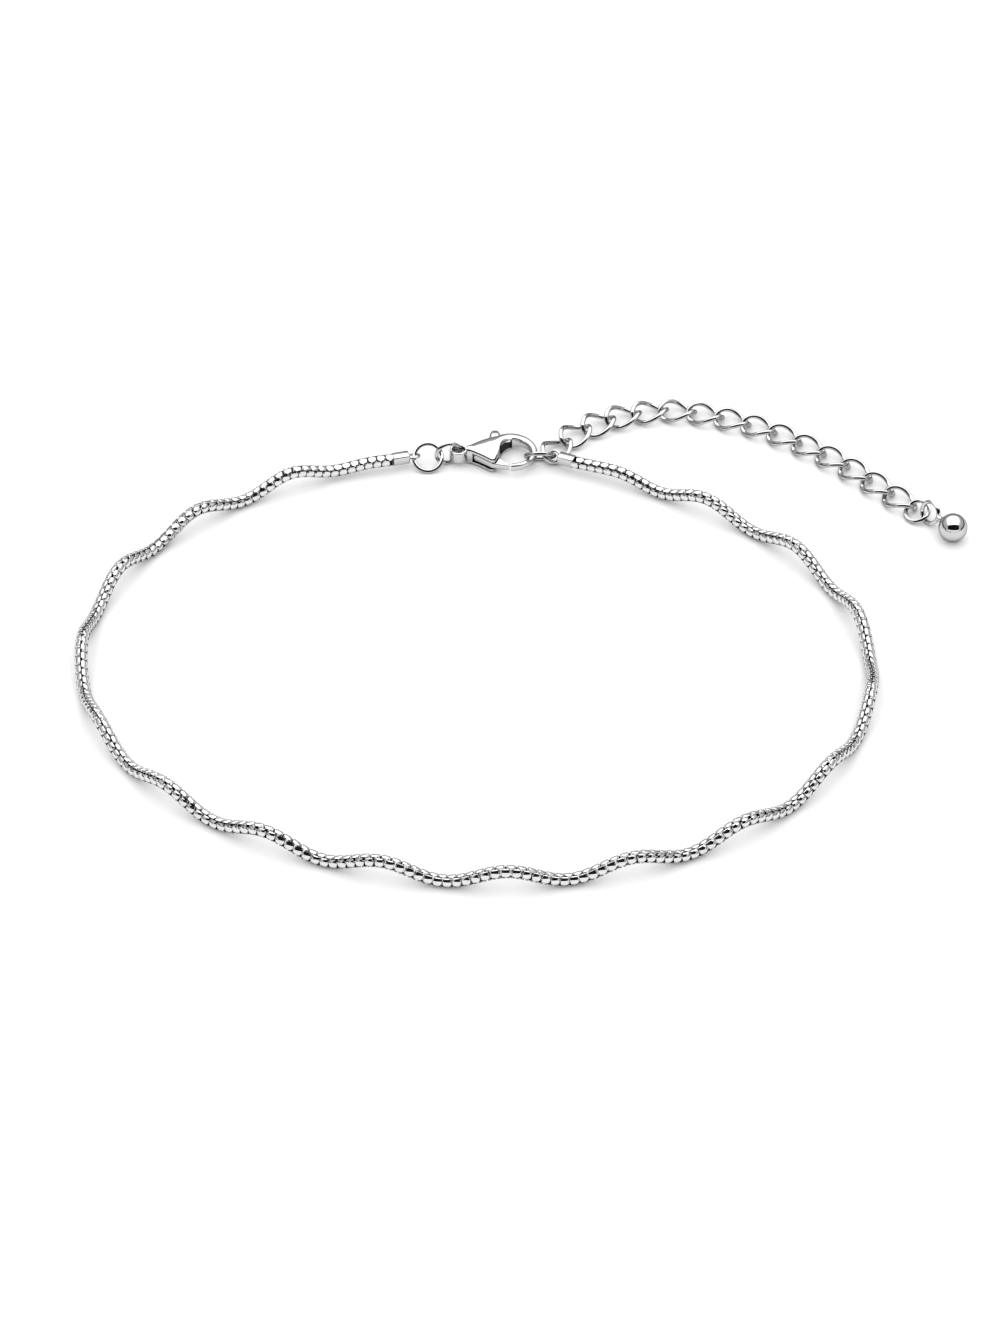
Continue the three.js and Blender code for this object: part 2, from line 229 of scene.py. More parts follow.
# Sizes of the crimp ends: along gives shares of the tube's length, and scale the size of its section at each
crimp = {
    "face": 1.08, "corner": 0.1, "cornerFlat": 0.8, "length": 1.75, "eyeRadius": 0.6, "eyeWire": 0.28,
    "setBack": 0.5, "gap": 0.36, "chainInside": 0.5,
    "along": [0, 0, 0.02, 0.08, 0.5, 0.94, 0.985, 1, 1, 0.7],
    "scale": [0, 0.9, 0.97, 1, 1, 1, 0.99, 0.96, 0.82, 0],
}
leftCrimp = {"eye": (-6.82, 31.69, 1.26), "heading": 195, "lean": -18}
rightCrimp = {"eye": (8.2, 31.54, 1.34), "heading": -24, "lean": 48}


def loopPoint(angle):
    lobes = (loop["oval"] * np.cos(2 * (angle - math.radians(loop["turn"])))
             + loop["egg"] * np.sin(3 * angle) + loop["square"] * np.cos(4 * angle))
    return loop["radius"] * (1 + lobes)[..., None] * np.stack([np.cos(angle), np.sin(angle)], -1)


def waveLift(along):
    return wave["height"] / 2 * (1 - np.cos(2 * np.pi * (along - wave["trough"]) / wave["pitch"]))


def crimpAxis(end):
    heading = math.radians(end["heading"])
    return np.array([math.cos(heading), math.sin(heading), 0])


# Centre line of half the chain, way +1 to the right and -1 to the left, then on into the crimp
def chainRoute(end, way):
    radius = chain["diameter"] / 2
    mouth = np.array(end["eye"]) + crimpAxis(end) * (crimp["setBack"] + crimp["length"] + crimp["gap"])
    angles = math.radians(chain["front"]) + way * np.linspace(0, math.pi, chain["samples"])
    plan = loopPoint(angles)
    reached = np.argmax((plan[:, 1] > 0) & (way * plan[:, 0] < way * mouth[0]))
    plan = plan[:reached]
    along = way * lengthsAlong(plan)
    ease = 1 - smoothStep(0, chain["easeLength"], np.abs(along[-1] - along))
    height = radius + waveLift(along) * (1 - ease) + (mouth[2] - radius) * ease
    plan = plan + (mouth[:2] - plan[-1]) * ease[:, None]
    deepest = crimp["gap"] + crimp["chainInside"]
    depths = np.linspace(chain["insideFrom"], deepest, chain["insideSamples"])
    inside = mouth - crimpAxis(end) * depths[:, None]
    return np.concatenate([np.column_stack([plan, height]), inside])


# Round box chain: each link is a flat strip bent to a box that closes on itself, and each is a quarter
# turn from the last. The strip runs round a rectangle with round corners, and its outside is domed to the
# chain's round. Outer and inner give the points across the strip as shares of its half widths, and the
# last list how much painted shade each gets, with the oxide of the hollows.
link = {
    "pitch": 0.4725, "length": 0.89, "corner": 0.1, "halfWidth": 0.39, "innerHalfWidth": 0.345,
    "thick": 0.15, "dome": 0.55, "innerDome": 0.4, "lookAhead": 0.2, "sharpAngle": 50,
    # the last list is painted shade, near-black on the inner faces and faint at the strip's edges, with oxide
    "outer": [-1, -0.55, 0, 0.55, 1], "inner": [1, -1], "shadeOxideMask": [0.1, 0, 0, 0, 0.1, 1, 1],
}

# How far the links' faces are turned down from the seam's side, in degrees, at lengths from the front.
# Lengths to its left are negative.
linkRoll = {
    "along": [-115, -96, -86, -79, -70, -45, -22, 0, 25, 48, 70, 84, 98, 115],
    "degrees": [40, 45, 62, 84, 58, 32, 22, 13, 15, 28, 44, 64, 50, 40],
}


def linkShape():
    radius = chain["diameter"] / 2
    corner = link["corner"]
    turn = np.radians(np.array([0, 90, 90, 180, 180, 270, 270, 360]))
    side = np.radians(np.repeat([45, 135, 225, 315], 2))
    normal = np.stack([np.cos(turn), np.sin(turn)], -1)
    middle = np.sign(np.stack([np.cos(side), np.sin(side)], -1))
    outside = middle * (np.array([link["length"] / 2, radius]) - corner) + corner * normal
    across = link["halfWidth"] * np.array(link["outer"])
    across = np.append(across, link["innerHalfWidth"] * np.array(link["inner"]))
    inset = link["dome"] - np.sqrt(link["dome"] ** 2 - across ** 2)
    inset[len(link["outer"]):] = inset[0] * link["innerDome"] + link["thick"]
    plane = outside[:, None, :] - inset[None, :, None] * normal[:, None, :]
    shadeOxideMask = np.broadcast_to(np.array(link["shadeOxideMask"]), plane.shape[:2])
    return plane, np.broadcast_to(across, plane.shape[:2]), shadeOxideMask


def addChain(name, end, way, node):
    route = chainRoute(end, way)
    reach = lengthsAlong(route)
    count = int(reach[-1] / link["pitch"] - 0.5)
    places = (np.arange(count) + 0.5) * link["pitch"]
    centre = pointsAt(places, reach, route)
    forward = unit(pointsAt(places + link["lookAhead"], reach, route)
                   - pointsAt(places - link["lookAhead"], reach, route))
    seam = seamSide(forward)
    beside = np.cross(forward, seam)
    roll = way * np.radians(np.interp(way * places, linkRoll["along"], linkRoll["degrees"]))
    roll = roll + np.pi / 2 * ((np.arange(count) + (way < 0)) % 2)
    upright = np.cos(roll)[:, None] * seam + np.sin(roll)[:, None] * beside
    crosswise = np.cross(forward, upright)
    plane, across, shadeOxideMask = linkShape()
    points = (centre[:, None, None, :]
              + plane[None, ..., 0, None] * forward[:, None, None, :]
              + plane[None, ..., 1, None] * upright[:, None, None, :]
              + across[None, ..., None] * crosswise[:, None, None, :])
    grids = [(one, True, True, shadeOxideMask) for one in points]
    piece = addPiece(name, grids, chainSilver, [node], sharpAngle=link["sharpAngle"])
    # faces weigh on the shading by their size, so that the flats stay flat and the corners look round
    piece.modifiers.new("weighted", "WEIGHTED_NORMAL").keep_sharp = True
    print(name, count, "links,", round(reach[-1], 1), "mm")


# Rectangle with soft edges, given by its half width and half height. Each edge is a quarter circle, pressed
# towards its chord by flat: 0 leaves it round and 1 makes a plain chamfer.
edgeSteps = 5
edgeShare = np.tile(np.linspace(0, 1, edgeSteps), 4)
edgeStart = np.repeat(np.radians([0, 90, 180, 270]), edgeSteps)
edgeAcross = np.repeat([1, -1, -1, 1], edgeSteps)
edgeUp = np.repeat([1, 1, -1, -1], edgeSteps)


def roundSection(half, tall, edgeRound, flat):
    bow = np.minimum(np.minimum(edgeRound, half), tall)
    turn = edgeStart + edgeShare * math.pi / 2
    chordAcross = (1 - edgeShare) * np.cos(edgeStart) - edgeShare * np.sin(edgeStart)
    chordUp = (1 - edgeShare) * np.sin(edgeStart) + edgeShare * np.cos(edgeStart)
    across = edgeAcross * (half - bow) + bow * ((1 - flat) * np.cos(turn) + flat * chordAcross)
    return across, edgeUp * (tall - bow) + bow * ((1 - flat) * np.sin(turn) + flat * chordUp)


# Wire rings: drawn wire carried along an oval, whose short axis may swing about the long one. The wire's
# section is a circle with faintly flattened sides: across and over are the cosine and sine raised to the
# flatness, keeping their sign, and one flat faces the same way as the chain's seam.
ringSteps = 72
wireSides = 20


def softPower(values, flatness):
    return np.sign(values) * np.abs(values) ** flatness


def wireLoop(centre, longAxis, shortAxis, wire, twist=0.0, flatness=0.55):
    a = np.linspace(0, 2 * np.pi, ringSteps, endpoint=False)[:, None]
    normal = np.cross(longAxis, shortAxis)
    normal = normal / np.linalg.norm(normal) * np.linalg.norm(shortAxis)
    swing = twist * np.cos(a)
    path = (np.asarray(centre) + np.cos(a) * longAxis
            + np.sin(a) * np.cos(swing) * shortAxis + np.sin(a) * np.sin(swing) * normal)
    forward = unit(np.roll(path, -1, 0) - np.roll(path, 1, 0))
    up = seamSide(forward)
    out = np.cross(forward, up)
    b = np.linspace(0, 2 * np.pi, wireSides, endpoint=False)[None, :, None]
    across, over = softPower(np.cos(b), flatness), softPower(np.sin(b), flatness)
    return path[:, None] + wire / 2 * (across * out[:, None] + over * up[:, None]), True, True


# Long and short axis of a ring that is headed level along (x, y) and tilted about its long axis, in degrees
def ringAxes(size, ahead, tilt):
    level = math.cos(math.radians(tilt))
    longAxis = size["long"] * np.array([*ahead, 0])
    sideways = np.array([-ahead[1] * level, ahead[0] * level, math.sin(math.radians(tilt))])
    return longAxis, size["short"] * sideways


rings = {
    "jump_ring_left": {
        "name": "jumpRingLeft", "at": (-5.28, 31.56, 1.18),
        "long": 1.49, "short": 1.49, "wire": 0.44, "yaw": 0, "tilt": 40},
    "oval_link": {
        "name": "ovalLink", "at": (-3.12, 32.04, 1.4),
        "long": 1.32, "short": 1.18, "wire": 0.42, "yaw": 18, "tilt": 89},
    "jump_ring_right": {
        "name": "jumpRingRight", "at": (6.68, 31.62, 1.35),
        "long": 1.5, "short": 1.5, "wire": 0.46, "yaw": 1, "tilt": -48},
    "extension_end_ring": {
        "name": "extensionEndRing", "at": (46.16, 23.02, 0.82),
        "long": 1.27, "short": 1.27, "wire": 0.44, "yaw": -54, "tilt": 26},
}


def addRings():
    for node, size in rings.items():
        yaw = math.radians(size["yaw"])
        axes = ringAxes(size, (math.cos(yaw), math.sin(yaw)), size["tilt"])
        ring = wireLoop(size["at"], *axes, size["wire"])
        addPiece(size["name"], [ring], wireSilver, [node])


# Crimp ends: a square tube with soft corners, one corner towards the seam's side, and a small round eye
def addCrimp(name, end, node):
    axis = crimpAxis(end)
    eye = np.array(end["eye"])
    seam = seamSide(axis)
    beside = np.cross(axis, seam)
    half = crimp["face"] / 2
    section = np.stack(roundSection(half, half, crimp["corner"], crimp["cornerFlat"]), -1)
    turned = section @ (np.array([[1, 1], [-1, 1]]) / math.sqrt(2))
    along = np.array(crimp["along"]) * crimp["length"] + crimp["setBack"]
    scale = np.array(crimp["scale"])
    ringPoints = turned[:, :1] * seam + turned[:, 1:] * beside
    tube = eye + along[:, None, None] * axis + scale[:, None, None] * ringPoints[None]
    lean = math.radians(end["lean"])
    side = np.array([-axis[1], axis[0], 0])
    side = side if side[1] > 0 else -side
    across = crimp["eyeRadius"] * (side * math.cos(lean) + np.array([0, 0, math.sin(lean)]))
    eyeRing = wireLoop(eye, axis * crimp["eyeRadius"], across, crimp["eyeWire"])
    addPiece(name, [(tube, False, True), eyeRing], castSilver, [node])


# Extension: curb links, each an oval of wire twisted about its long axis, along a smooth route
curb = {
    "count": 15, "long": 1.91, "short": 1.4, "wire": 0.48, "twist": -42, "flatness": 0.66,
    "height": 0.73, "spread": 0.03, "lookAhead": 0.05,
}
extensionRoute = np.array([
    [8.44, 33.31], [10.3, 35.7], [12.8, 37.6], [15.4, 38.95],
    [21.2, 40.1], [29.6, 37.6], [37.5, 32.1], [44.5, 25.0]])

# How the links sit off the route, by link number: along x and y, upwards, and rolled about their length
# in degrees
settle = {
    "link": [1, 2, 3, 4, 5, 6, 8, 15],
    "x": [0, 0.17, 0.27, 0.3, 0.3, 0.26, 0.18, 0],
    "y": [0.16, 0.2, 0.17, 0.1, 0.06, 0, -0.05, 0],
    "lift": [0.08, 0.2, 0.24, 0.19, 0.14, 0.06, 0, 0],
    "roll": [5, 7, 10, 5, 2, 1, 0, 0],
}


# Centripetal Catmull-Rom through the points: knots grow with the square root of the distance between them
def smoothRoute(points, samples=400):
    points = np.concatenate([[2 * points[0] - points[1]], points, [2 * points[-1] - points[-2]]])
    pieces = []
    for p0, p1, p2, p3 in zip(points, points[1:], points[2:], points[3:]):
        d0, d1, d2 = (math.sqrt(np.linalg.norm(b - a)) for a, b in ((p0, p1), (p1, p2), (p2, p3)))
        m1 = d1 * ((p1 - p0) / d0 - (p2 - p0) / (d0 + d1) + (p2 - p1) / d1)
        m2 = d1 * ((p2 - p1) / d1 - (p3 - p1) / (d1 + d2) + (p3 - p2) / d2)
        t = np.linspace(0, 1, samples)[:, None]
        pieces.append((2 * t ** 3 - 3 * t ** 2 + 1) * p1 + (t ** 3 - 2 * t ** 2 + t) * m1
                      + (3 * t ** 2 - 2 * t ** 3) * p2 + (t ** 3 - t ** 2) * m2)
    return np.concatenate(pieces)


def addExtension():
    route = smoothRoute(extensionRoute)
    reach = lengthsAlong(route)
    share = np.linspace(0, 1, curb["count"])
    places = reach[-1] * share * (1 - curb["spread"] * (1 - share))
    for number, place in enumerate(places, 1):
        offX, offY, lift, roll = (
            np.interp(number, settle["link"], settle[key]) for key in ("x", "y", "lift", "roll"))
        x, y = pointsAt(place, reach, route) + np.array([offX, offY])
        ahead = (pointsAt(min(place + curb["lookAhead"], reach[-1]), reach, route)
                 - pointsAt(max(place - curb["lookAhead"], 0), reach, route))
        axes = ringAxes(curb, ahead / np.linalg.norm(ahead), roll)
        ring = wireLoop(
            (x, y, curb["height"] + lift), *axes, curb["wire"], math.radians(curb["twist"]), curb["flatness"])
        node = f"extension_link_{number:02d}"
        addPiece(f"curbLink{number:02d}", [ring], curbSilver, [node])


# Ball: a sphere by latitude and longitude, with its wire loop and a small collar of solder, which is turned
# from pairs of a distance from the ball's centre and a radius
ballLoop = {
    "radius": 1.13, "wire": 0.44, "reach": 3.38, "heading": 128.3, "rise": -2.9, "roll": -72,
    "collarSides": 32,
    "collar": [[1.3, 0], [1.3, 0.6], [1.42, 0.48], [1.5, 0.4], [1.6, 0.34], [1.75, 0.31],
               [1.95, 0.31], [2.1, 0.34], [2.2, 0.36], [2.32, 0.3], [2.36, 0]],
}


def addBall():
    lat, lon = np.meshgrid(
        np.linspace(-np.pi / 2, np.pi / 2, ball["rows"]),
        np.linspace(0, 2 * np.pi, ball["columns"], endpoint=False), indexing="ij")
    sphere = np.array(ball["centre"]) + ball["radius"] * np.stack(
        [np.cos(lat) * np.cos(lon), np.cos(lat) * np.sin(lon), np.sin(lat)], -1)
    heading, rise, roll = (math.radians(ballLoop[key]) for key in ("heading", "rise", "roll"))
    out = np.array([math.cos(heading) * math.cos(rise), math.sin(heading) * math.cos(rise), math.sin(rise)])
    level = np.array([-math.sin(heading), math.cos(heading), 0])
    across = level * math.cos(roll) + np.cross(out, level) * math.sin(roll)
    centre = np.array(ball["centre"]) + ballLoop["reach"] * out
    ring = wireLoop(centre, ballLoop["radius"] * out, ballLoop["radius"] * across, ballLoop["wire"])
    a = np.linspace(0, 2 * np.pi, ballLoop["collarSides"], endpoint=False)
    flare = np.array(ballLoop["collar"])
    circle = np.cos(a)[:, None] * level + np.sin(a)[:, None] * np.cross(out, level)
    collar = np.array(ball["centre"]) + flare[:, :1, None] * out + flare[:, 1:, None] * circle[None]
    grids = [(sphere, False, True), ring, (collar, False, True)]
    addPiece("ballEnd", grids, castSilver, ["extension_ball"])


# Lobster clasp, about the centre of its hook; x runs from the eye to the hook. The hook's lows and highs
# are its levels at the angles, in degrees, and the neck's and the pin's sides are their ends in plan.
clasp = {"at": (3.6, 32.45), "thickness": 2, "cheek": 0.45}
hook = {
    "outer": 2.75, "opening": 1.97, "openingAt": (0.15, -0.18), "edge": 0.16, "steps": 80,
    "angles": [-92, 0, 94], "lows": [0.675, 0.82, 0.3], "highs": [1.525, 1.52, 1.7],
}
neck = {
    "far": ((-4.95, 0.28), (-4.02, 0.78)), "near": ((-4.95, -0.52), (-4.02, -0.66)),
    "low": (0.5, 0.2), "high": (1.6, 1.85), "edge": 0.12, "steps": 8,
}
pin = {
    "near": ((-3.4, -0.45), (-2.9, -0.45)), "far": ((-3.4, -0.2), (-2.9, -0.2)),
    "low": 0.3, "high": 1.7, "steps": 5,
}
claspEye = {
    "at": (-5.62, -0.26), "outer": 0.965, "hole": 0.65, "bottom": 0.56, "top": 1.9,
    "edge": 0.14, "edgeFlat": 0.2, "steps": 64,
}


def claspPoint(plan, height):
    height = np.broadcast_to(height, plan.shape[:-1])[..., None]
    return np.concatenate([plan + np.array(clasp["at"]), height], -1)


# Bar between two edge curves in plan, from a low to a high level. Its section is the round-edged rectangle,
# and at each end the section draws in over a quarter circle and then shrinks to a point. Blunt is the share
# of the quarter circle that is used, and 0 leaves it out.
def barBetween(edgeA, edgeB, low, high, edgeRound=0.1, flat=0.8, blunt=1.0):
    rows = len(edgeA)
    low, high = np.broadcast_to(low, rows), np.broadcast_to(high, rows)
    phi = np.radians([0, 45, 90])
    drawn = blunt * edgeRound * (1 - np.sin(phi))
    moved = blunt * edgeRound * (1 - np.cos(phi))
    rest = np.zeros(rows - 2)
    shut = [np.inf]
    at = np.concatenate([[0] * 4, np.arange(1, rows - 1), [rows - 1] * 4])
    inset = np.concatenate([shut, drawn, rest, drawn[::-1], shut])[:, None]
    advance = np.concatenate([[0], moved, rest, -moved[::-1], [0]])[:, None]
    middle = 0.5 * (edgeA + edgeB)
    half = 0.5 * np.linalg.norm(edgeA - edgeB, axis=1)[at, None]
    tall = 0.5 * (high - low)[at, None]
    across, up = roundSection(
        np.maximum(half - inset, 0), np.maximum(tall - inset, 0), np.maximum(edgeRound - inset, 0), flat)
    centre = middle[at] + advance * unit(np.gradient(middle, axis=0))[at]
    plan = centre[:, None] + across[..., None] * unit(edgeA - edgeB)[at, None]
    return claspPoint(plan, (0.5 * (high + low))[at, None] + up), False, True


# Curve pulled towards a control point: a Bezier curve of the second degree
def bend(start, control, end, count):
    t = np.linspace(0, 1, count)[:, None]
    return (1 - t) ** 2 * np.array(start) + 2 * t * (1 - t) * np.array(control) + t ** 2 * np.array(end)


def straight(start, end, count):
    return np.array(start) + np.linspace(0, 1, count)[:, None] * (np.array(end) - np.array(start))


def arc(centre, radius, start, end, count):
    a = np.radians(np.linspace(start, end, count))
    return np.array(centre) + radius * np.stack([np.cos(a), np.sin(a)], -1)


# Points at equal steps along a curve
def evenCurve(parts, count):
    points = np.concatenate(parts)
    reach = lengthsAlong(points)
    return pointsAt(np.linspace(0, reach[-1], count), reach, points)


# Cheek: strips from a near edge to a far edge. Across a strip the surface climbs the near wall, rounds over
# the near edge in an elliptic quarter, crosses the flat top and comes down a wider elliptic quarter to the
# far wall. The spans say where along the strips, as shares or in x, one form changes to the next.
cheek = {
    "frontRound": 0.13, "frontDrop": 0.13, "frontFlat": 0.8, "sideRound": 0.55, "sideDrop": 0.22,
    "nearLimit": 0.4, "farRound": 0.95, "farDrop": 0.42, "farLimit": 0.5,
    "hookTop": 1.72, "hookRound": 0.5, "hookDrop": 0.6, "hookInset": 0.02, "crown": 0.08,
    "lowerShift": (-0.12, 0.16), "underInset": 0.05,
    "sideSpan": (0.42, 0.55), "shiftSpan": (0.05, 0.3), "hookSpan": (-1.6, 0.1),
    "strips": 110, "quarterSteps": 9, "flatSteps": 8,
}


def cheekGrid(upper):
    near = evenCurve([
        straight((-4.85, -0.5), (-4.3, -0.62), 4),
        bend((-4.3, -0.62), (-3.1, -1.35), (-2.2, -2.12), 20),
        bend((-2.2, -2.12), (-1.75, -2.4), (-1.6, -1.85), 10),
        bend((-1.6, -1.85), (-1.2, -0.9), (-1.2, -0.1), 14),
        bend((-1.2, -0.1), (-1.15, 1.2), (0.1, 1.75), 16),
    ], cheek["strips"])
    far = evenCurve([
        straight((-4.85, 0.35), (-4.3, 0.75), 4),
        bend((-4.3, 0.75), (-3.2, 1.75), (-1.44, 2.31), 24),
        arc((0, 0), hook["outer"] - cheek["hookInset"], 122, 84, 14),
    ], cheek["strips"])
    share = np.linspace(0, 1, cheek["strips"])[:, None]
    side = smoothStep(*cheek["sideSpan"], share)
    if not upper:
        near = near + np.array(cheek["lowerShift"]) * smoothStep(*cheek["shiftSpan"], share) * (1 - side)
    width = np.linalg.norm(far - near, axis=1)[:, None]
    toHook = smoothStep(*cheek["hookSpan"], near[:, :1])
    top = clasp["thickness"] - (clasp["thickness"] - cheek["hookTop"]) * toHook
    nearRound = np.minimum(
        cheek["frontRound"] + (cheek["sideRound"] - cheek["frontRound"]) * side, cheek["nearLimit"] * width)
    nearDrop = cheek["frontDrop"] + (cheek["sideDrop"] - cheek["frontDrop"]) * side
    farRound = np.minimum(cheek["farRound"] * (1 - cheek["hookRound"] * toHook), cheek["farLimit"] * width)
    farDrop = cheek["farDrop"] * (1 - cheek["hookDrop"] * toHook)
    under = clasp["thickness"] - clasp["cheek"]
    phi = np.radians(np.linspace(0, 90, cheek["quarterSteps"]))[None]
    chord = np.linspace(0, 1, cheek["quarterSteps"])[None]
    pressed = cheek["frontFlat"] * (1 - side)
    nearIn = (1 - pressed) * (1 - np.cos(phi)) + pressed * chord
    nearUp = (1 - pressed) * np.sin(phi) + pressed * chord
    flat = np.linspace(0, 1, cheek["flatSteps"])[None, 1:-1]
    level = np.full_like(width, under)
    across = np.concatenate([
        0 * width, nearRound * nearIn, nearRound + flat * (width - nearRound - farRound),
        width - farRound * (1 - np.sin(phi)), width,
        width - cheek["underInset"], 0 * width + cheek["underInset"]], 1)
    height = np.concatenate([
        level, top - nearDrop * (1 - nearUp), top + 0 * flat,
        top - farDrop * (1 - np.cos(phi)), level, level, level], 1)
    # the top is faintly crowned: it falls with the square of the distance from the strip's middle
    crown = cheek["crown"] * (1 - toHook) * (2 * across / width - 1) ** 2
    height = np.maximum(height - crown, under)
    plan = near[:, None] + across[..., None] * unit(far - near)[:, None]
    points = claspPoint(plan, height if upper else clasp["thickness"] - height)
    tip = lambda row: np.broadcast_to(row.mean(0), (1, *row.shape))
    # painted shade on the underside and along the front's near edge
    paintedShade = np.zeros(points.shape[:2])
    paintedShade[:, -2:] = 1
    paintedShade[:, 2:cheek["quarterSteps"]] = 1 - side
    paintedShade = np.concatenate([paintedShade[:1], paintedShade, paintedShade[-1:]])
    return np.concatenate([tip(points[0]), points, tip(points[-1])]), False, True, paintedShade


# Eye: the round-edged rectangle carried round a circle
def eyeGrid():
    a = np.linspace(0, 2 * np.pi, claspEye["steps"], endpoint=False)
    half = (claspEye["outer"] - claspEye["hole"]) / 2
    tall = (claspEye["top"] - claspEye["bottom"]) / 2
    across, up = roundSection(half, tall, claspEye["edge"], claspEye["edgeFlat"])
    radius = claspEye["hole"] + half + across
    circle = np.stack([np.cos(a), np.sin(a)], -1)
    plan = np.array(claspEye["at"]) + radius[None, :, None] * circle[:, None]
    return claspPoint(plan, claspEye["bottom"] + tall + up), True, True


def addClaspBody():
    ends = hook["angles"][0], hook["angles"][-1]
    angles = np.linspace(*ends, hook["steps"])
    hookBar = barBetween(
        arc((0, 0), hook["outer"], *ends, hook["steps"]),
        arc(hook["openingAt"], hook["opening"], *ends, hook["steps"]),
        np.interp(angles, hook["angles"], hook["lows"]), np.interp(angles, hook["angles"], hook["highs"]),
        edgeRound=hook["edge"])
    neckBar = barBetween(
        straight(*neck["far"], neck["steps"]), straight(*neck["near"], neck["steps"]),
        np.linspace(*neck["low"], neck["steps"]), np.linspace(*neck["high"], neck["steps"]),
        edgeRound=neck["edge"])
    pinBar = barBetween(
        straight(*pin["near"], pin["steps"]), straight(*pin["far"], pin["steps"]), pin["low"], pin["high"])
    grids = [cheekGrid(True), cheekGrid(False), hookBar, neckBar, eyeGrid(), pinBar]
    addPiece("claspBody", grids, castSilver, ["clasp_body"])


# Lever: the gate along the near side, and a thumb tab out of the far side. The tab's end is half an
# ellipsoid: its width and height shrink with the cosine as it nears the tip, and tipShare stops it just
# short of the pole.
lever = {
    "low": 0.65, "high": 1.32, "gateEdge": 0.08, "gateSteps": 30,
    "tabAt": -1.74, "tabStart": -0.9, "tabEnd": 3.95, "tabHalf": 0.6, "tabEdge": 0.3, "tabSteps": 12,
    "tabRound": 1.0, "tipShare": 0.98, "tipSteps": 14,
}


def addLever():
    front = evenCurve([
        bend((-4.0, -0.72), (-3.1, -1.28), (-2.2, -2.02), 20),
        straight((-2.0, -2.1), (-0.2, -2.5), 14),
    ], lever["gateSteps"])
    back = evenCurve([
        straight((-3.5, 0.2), (-1.75, -0.2), 20),
        bend((-1.6, -0.5), (-1.2, -1.5), (-0.2, -2.08), 14),
    ], lever["gateSteps"])
    gate = barBetween(front, back, lever["low"], lever["high"], edgeRound=lever["gateEdge"])
    turn = np.linspace(0, lever["tipShare"] * np.pi / 2, lever["tipSteps"])
    shrink = np.concatenate([np.ones(lever["tabSteps"] - 1), np.cos(turn)])
    stem = np.linspace(lever["tabStart"], lever["tabEnd"] - lever["tabRound"], lever["tabSteps"])
    y = np.concatenate([stem[:-1], lever["tabEnd"] - lever["tabRound"] * (1 - np.sin(turn))])
    half = lever["tabHalf"] * shrink
    middle = 0.5 * (lever["low"] + lever["high"])
    tall = 0.5 * (lever["high"] - lever["low"]) * shrink
    tab = barBetween(
        np.stack([lever["tabAt"] - half, y], -1), np.stack([lever["tabAt"] + half, y], -1),
        middle - tall, middle + tall, edgeRound=lever["tabEdge"], flat=0, blunt=0)
    addPiece("claspLever", [gate, tab], castSilver, ["clasp_lever"], body=leverBody)


# Studio: a pale floor and one large soft light above. For the metal to mirror there is a dark card round
# the lens with a white strip below it, and a dark and a grey wall, both low, round the sides and the back.
# Lows and highs are elevations in degrees.
studio = {
    "floor": 0.66, "floorRough": 0.7, "floorGloss": 0.2, "floorHalf": 3, "floorDrop": 2e-5, "room": 0.86,
    "boxRadiance": 1.55, "boxHeight": 600, "boxFront": -900, "boxBack": 960, "boxWide": 1200,
}
lensStand = {"distance": 420, "halfWide": 420}
lensCard = {"name": "lensCard", "low": 18, "high": 64, "glow": 0.0}
whiteCard = {"name": "whiteCard", "low": 8, "high": 17.5, "glow": 1.55}
wall = {"distance": 500, "from": -30, "to": 210, "steps": 48}
darkWall = {"name": "darkWall", "low": 0, "high": 12, "glow": 0.12}
greyWall = {"name": "greyWall", "low": 12, "high": 31, "glow": 0.62}
cardTone = (0.01, 0.01, 0.01, 1)


# A flat card by the lens, between two elevations
def lensSheet(card):
    up = np.radians([card["low"], card["high"]])[:, None]
    x = np.array([[-lensStand["halfWide"], lensStand["halfWide"]]])
    back, rise = -lensStand["distance"] * np.cos(up), lensStand["distance"] * np.sin(up)
    return np.stack(np.broadcast_arrays(x, back, rise), -1)


# A wall that is part of a cylinder
def wallSheet(card):
    a = np.radians(np.linspace(wall["from"], wall["to"], wall["steps"]))[None]
    z = wall["distance"] * np.tan(np.radians([card["low"], card["high"]]))[:, None]
    return np.stack(np.broadcast_arrays(wall["distance"] * np.cos(a), wall["distance"] * np.sin(a), z), -1)


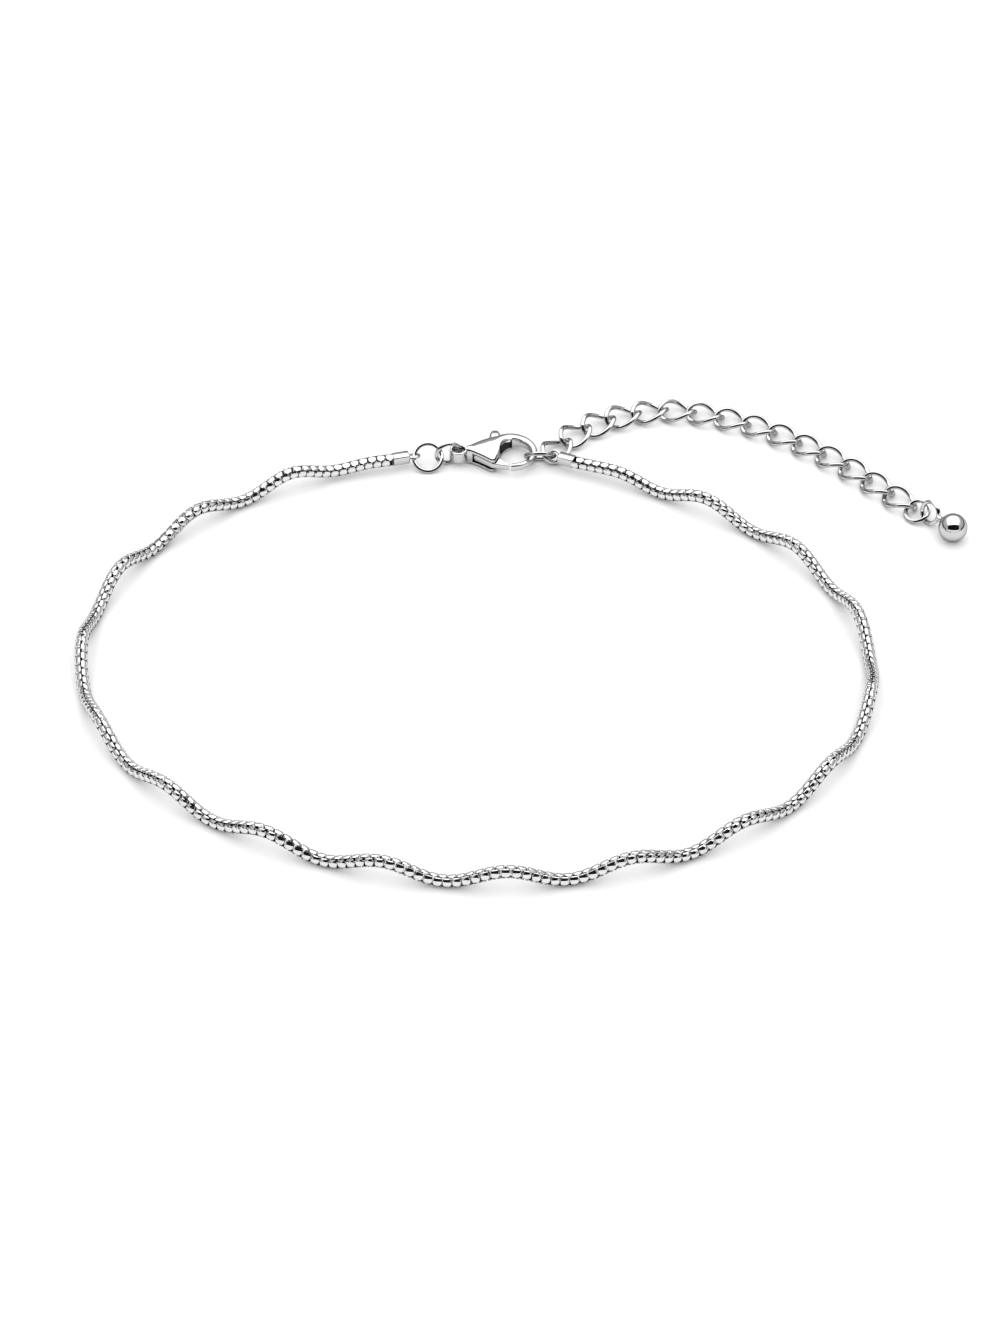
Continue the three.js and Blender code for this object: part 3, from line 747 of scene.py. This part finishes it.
# Only reflections see a card
def addCard(card, sheet):
    mesh = bpy.data.meshes.new(card["name"])
    faces = gridFaces(sheet.shape[:2], False, False, 0)
    mesh.from_pydata(toFrame(sheet.reshape(-1, 3)), [], faces.tolist())
    paper = bpy.data.materials.new(card["name"])
    paper.use_nodes = True
    shader = paper.node_tree.nodes["Principled BSDF"]
    shader.inputs["Base Color"].default_value = cardTone
    shader.inputs["Specular IOR Level"].default_value = 0
    shader.inputs["Emission Color"].default_value = (1, 1, 1, 1)
    shader.inputs["Emission Strength"].default_value = card["glow"]
    mesh.materials.append(paper)
    piece = bpy.data.objects.new(card["name"], mesh)
    bpy.context.collection.objects.link(piece)
    piece.visible_camera = piece.visible_diffuse = piece.visible_shadow = False


def addStudio():
    half, low = studio["floorHalf"], -studio["floorDrop"]
    floorMesh = bpy.data.meshes.new("floor")
    floorMesh.from_pydata(
        [(-half, -half, low), (half, -half, low), (half, half, low), (-half, half, low)], [], [(0, 1, 2, 3)])
    floor = bpy.data.objects.new("floor", floorMesh)
    paper = bpy.data.materials.new("paper")
    paper.use_nodes = True
    sheet = paper.node_tree.nodes["Principled BSDF"]
    sheet.inputs["Base Color"].default_value = (studio["floor"],) * 3 + (1,)
    sheet.inputs["Roughness"].default_value = studio["floorRough"]
    sheet.inputs["Specular IOR Level"].default_value = studio["floorGloss"]
    floorMesh.materials.append(paper)
    bpy.context.collection.objects.link(floor)
    world = bpy.data.worlds.new("room")
    world.use_nodes = True
    world.node_tree.nodes["Background"].inputs["Color"].default_value = (studio["room"],) * 3 + (1,)
    bpy.context.scene.world = world
    box = bpy.data.lights.new("softbox", "AREA")
    box.shape = "RECTANGLE"
    box.size, box.size_y = studio["boxWide"] * mm, (studio["boxBack"] - studio["boxFront"]) * mm
    box.energy = studio["boxRadiance"] * math.pi * box.size * box.size_y
    lamp = bpy.data.objects.new("softbox", box)
    lamp.location = toFrame((0, (studio["boxFront"] + studio["boxBack"]) / 2, studio["boxHeight"]))
    lamp.visible_camera = False
    bpy.context.collection.objects.link(lamp)
    for card in (lensCard, whiteCard):
        addCard(card, lensSheet(card))
    for card in (darkWall, greyWall):
        addCard(card, wallSheet(card))
    bpy.context.scene.view_settings.view_transform = "Standard"


addCamera()
addStudio()
print("camera and studio set")
addChain("chainLeft", leftCrimp, -1, "chain_left")
addChain("chainRight", rightCrimp, 1, "chain_right")
addCrimp("crimpLeft", leftCrimp, "crimp_end_left")
addCrimp("crimpRight", rightCrimp, "crimp_end_right")
addRings()
addExtension()
addBall()
print("rings, extension and ball made")
addClaspBody()
addLever()
print("clasp made")
